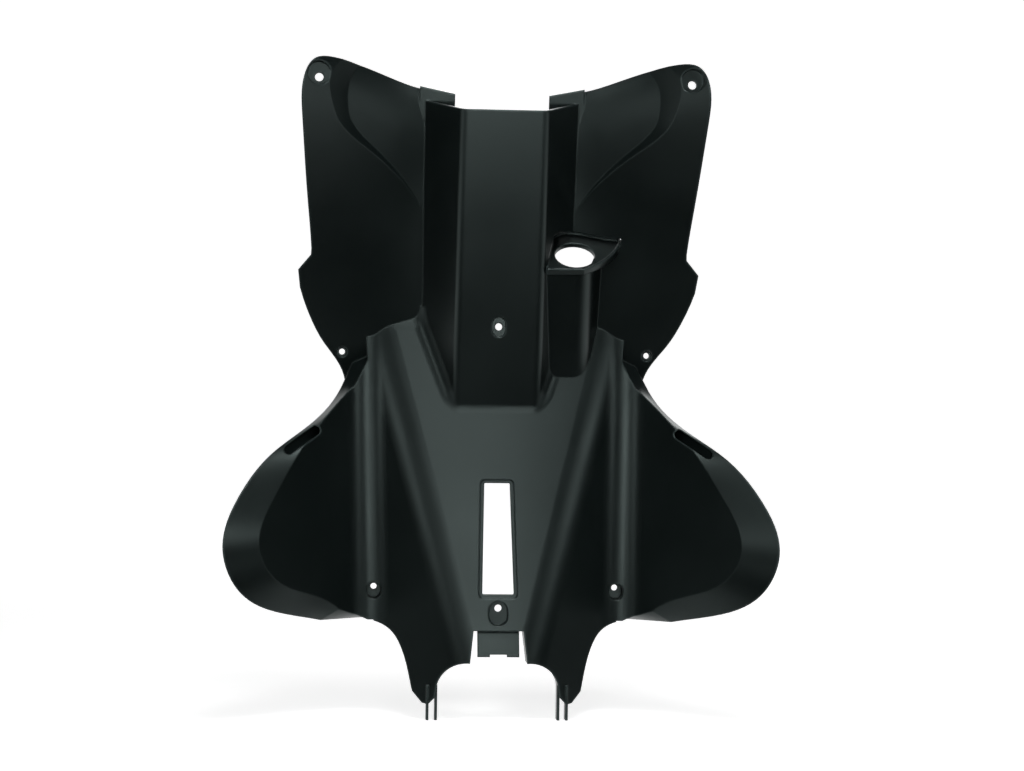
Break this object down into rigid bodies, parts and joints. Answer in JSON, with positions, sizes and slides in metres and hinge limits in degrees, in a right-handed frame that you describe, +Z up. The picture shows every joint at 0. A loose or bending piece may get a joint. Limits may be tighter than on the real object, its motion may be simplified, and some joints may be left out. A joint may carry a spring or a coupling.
{
  "type": "scooter leg shield",
  "caption": "Black moulded inner leg shield for a step-through scooter: swept wings, raked steering-column tunnel, key pod, spine, foot lobes and forked legs.",
  "frame": {"origin": "seat of the column screw, on the centre line of the tunnel's face", "axes": "+Z up as the shield stands in the picture, -Y toward the rider and along the column screw, +X toward the key pod"},
  "size_m": [0.4482, 0.1617, 0.5409],
  "materials": {
    "shield_plastic": "fine-grained moulded polypropylene"
  },
  "bodies": {
    "root": {"leg_shield": "shield_plastic"}
  },
  "joints": []
}
